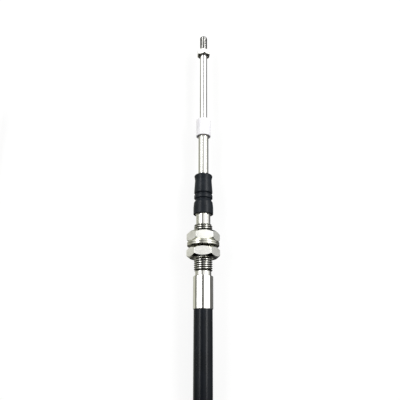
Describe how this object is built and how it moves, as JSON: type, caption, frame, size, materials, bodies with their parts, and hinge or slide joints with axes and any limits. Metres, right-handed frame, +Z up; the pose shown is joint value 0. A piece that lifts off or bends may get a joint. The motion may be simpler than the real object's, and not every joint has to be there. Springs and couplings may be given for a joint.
{
  "type": "push-pull control cable",
  "caption": "Jacketed push-pull control cable, coiled, with a threaded bulkhead hub, swivelling sleeve, rubber boot and threaded rod on each end.",
  "frame": {"origin": "on the floor under the middle of the near fitting, measured from its crimp's end to its stud's tip", "axes": "+Y along the near fitting towards its rod's tip, +X to its right, +Z up from the floor that it lies on"},
  "size_m": [0.1602, 0.3903, 0.022],
  "materials": {
    "plated_steel": "turned steel, bright zinc plated",
    "polished_steel": "ground and polished stainless steel",
    "boot_rubber": "moulded black rubber, satin",
    "white_nylon": "moulded white nylon",
    "black_jacket": "extruded black jacket, semi-gloss"
  },
  "bodies": {
    "cable": {"near_hub": "plated_steel", "near_front_nut": "plated_steel", "near_front_washer": "plated_steel", "near_rear_washer": "plated_steel", "near_rear_nut": "plated_steel", "cable_near_lead": "black_jacket", "cable_coil": "black_jacket", "cable_far_lead": "black_jacket", "far_hub": "plated_steel", "far_front_nut": "plated_steel", "far_front_washer": "plated_steel", "far_rear_washer": "plated_steel", "far_rear_nut": "plated_steel"},
    "near_tube": {"near_sleeve": "plated_steel", "near_boot": "boot_rubber", "near_wiper": "white_nylon"},
    "near_push_rod": {"near_rod": "polished_steel", "near_rod_nut": "plated_steel"},
    "far_tube": {"far_sleeve": "plated_steel", "far_boot": "boot_rubber", "far_wiper": "white_nylon"},
    "far_push_rod": {"far_rod": "polished_steel", "far_rod_nut": "plated_steel"}
  },
  "joints": [
    {"name": "near_swivel", "type": "hinge", "parent": "cable", "child": "near_tube", "pos_m": [0, -0.0325, 0.00965], "axis": [0, 0, 1], "range_deg": [-8, 8]},
    {"name": "near_stroke", "type": "slide", "parent": "near_tube", "child": "near_push_rod", "axis": [0, 1, 0], "range_m": [-0.0127, 0.0127]},
    {"name": "far_swivel", "type": "hinge", "parent": "cable", "child": "far_tube", "pos_m": [-0.14, -0.0787, 0.00965], "axis": [0, 0, 1], "range_deg": [-8, 8]},
    {"name": "far_stroke", "type": "slide", "parent": "far_tube", "child": "far_push_rod", "axis": [0, 1, 0], "range_m": [-0.0127, 0.0127]}
  ],
  "couplings": [
    {"joint": "far_stroke", "follows": "near_stroke", "ratio": -1}
  ]
}
